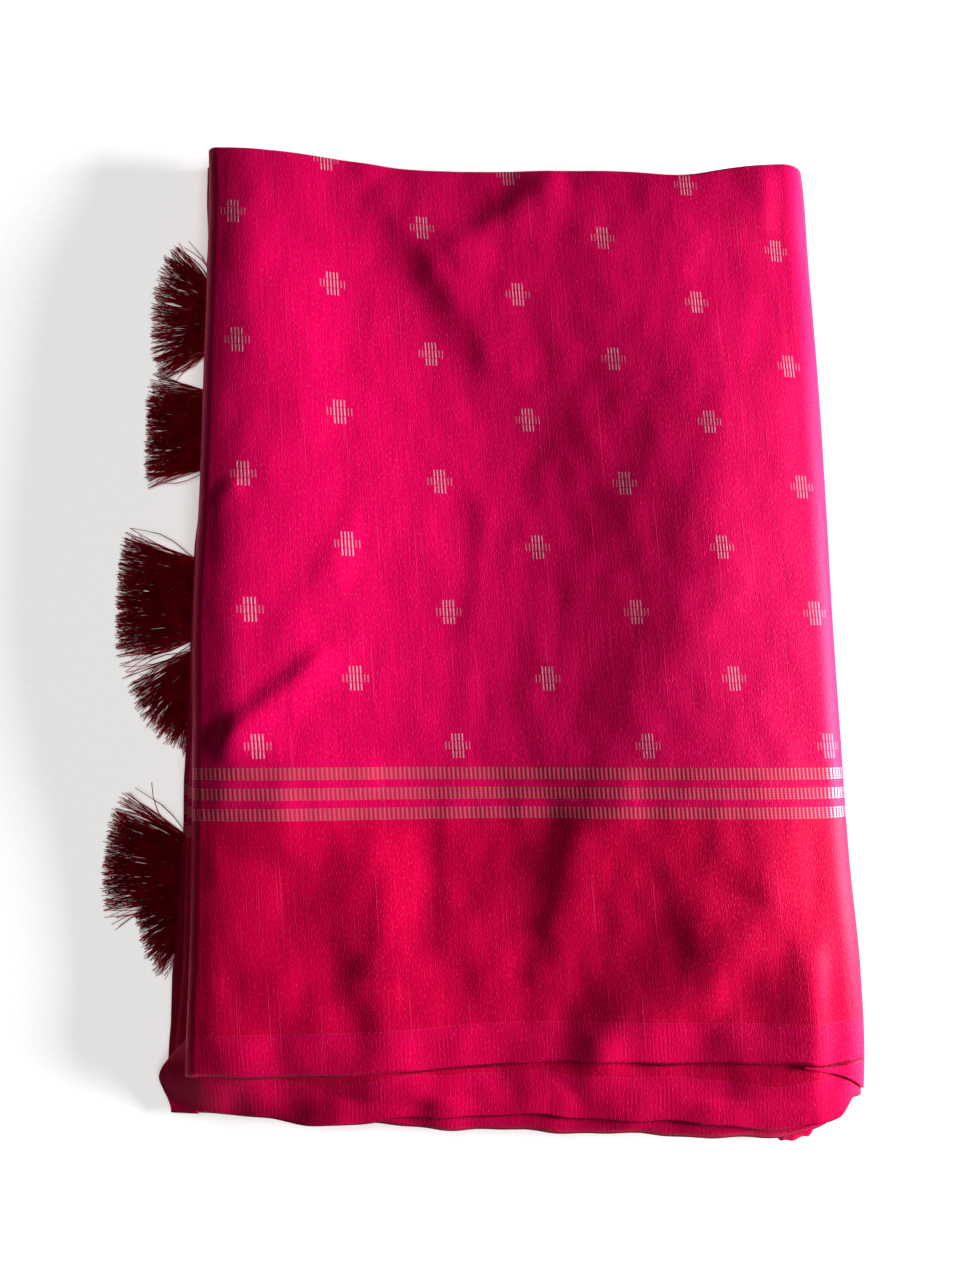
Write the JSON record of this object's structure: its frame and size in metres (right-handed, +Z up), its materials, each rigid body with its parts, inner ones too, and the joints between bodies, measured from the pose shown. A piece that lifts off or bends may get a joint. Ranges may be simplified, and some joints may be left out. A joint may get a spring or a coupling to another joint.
{
  "type": "folded saree",
  "caption": "Flat folded saree: layered silk cloth with a rounded fold at each side, a front lip of selvedges and tassels at the left.",
  "frame": {"origin": "middle of the flat underside, on the surface that the folded saree rests on", "axes": "+Z up through the pile; +Y across the cloth's width, from the selvedges at the front to the width fold at the back; +X along the cloth's length, towards the last fold, with the tassels at -X"},
  "size_m": [0.4538, 0.6, 0.032],
  "materials": {
    "silk": "raw silk with a low sheen, slubs and woven metallic figures",
    "thread": "loose soft thread"
  },
  "bodies": {
    "root": {"top_ply": "silk", "second_ply": "silk", "third_ply": "silk", "inner_layers": "silk", "bottom_ply": "silk", "corner_flap": "silk", "corner_tuck": "silk", "end_piece": "silk", "tassel_1": "thread", "tassel_2": "thread", "tassel_3": "thread", "tassel_4": "thread", "tassel_5": "thread", "tassel_6": "thread"}
  },
  "joints": []
}
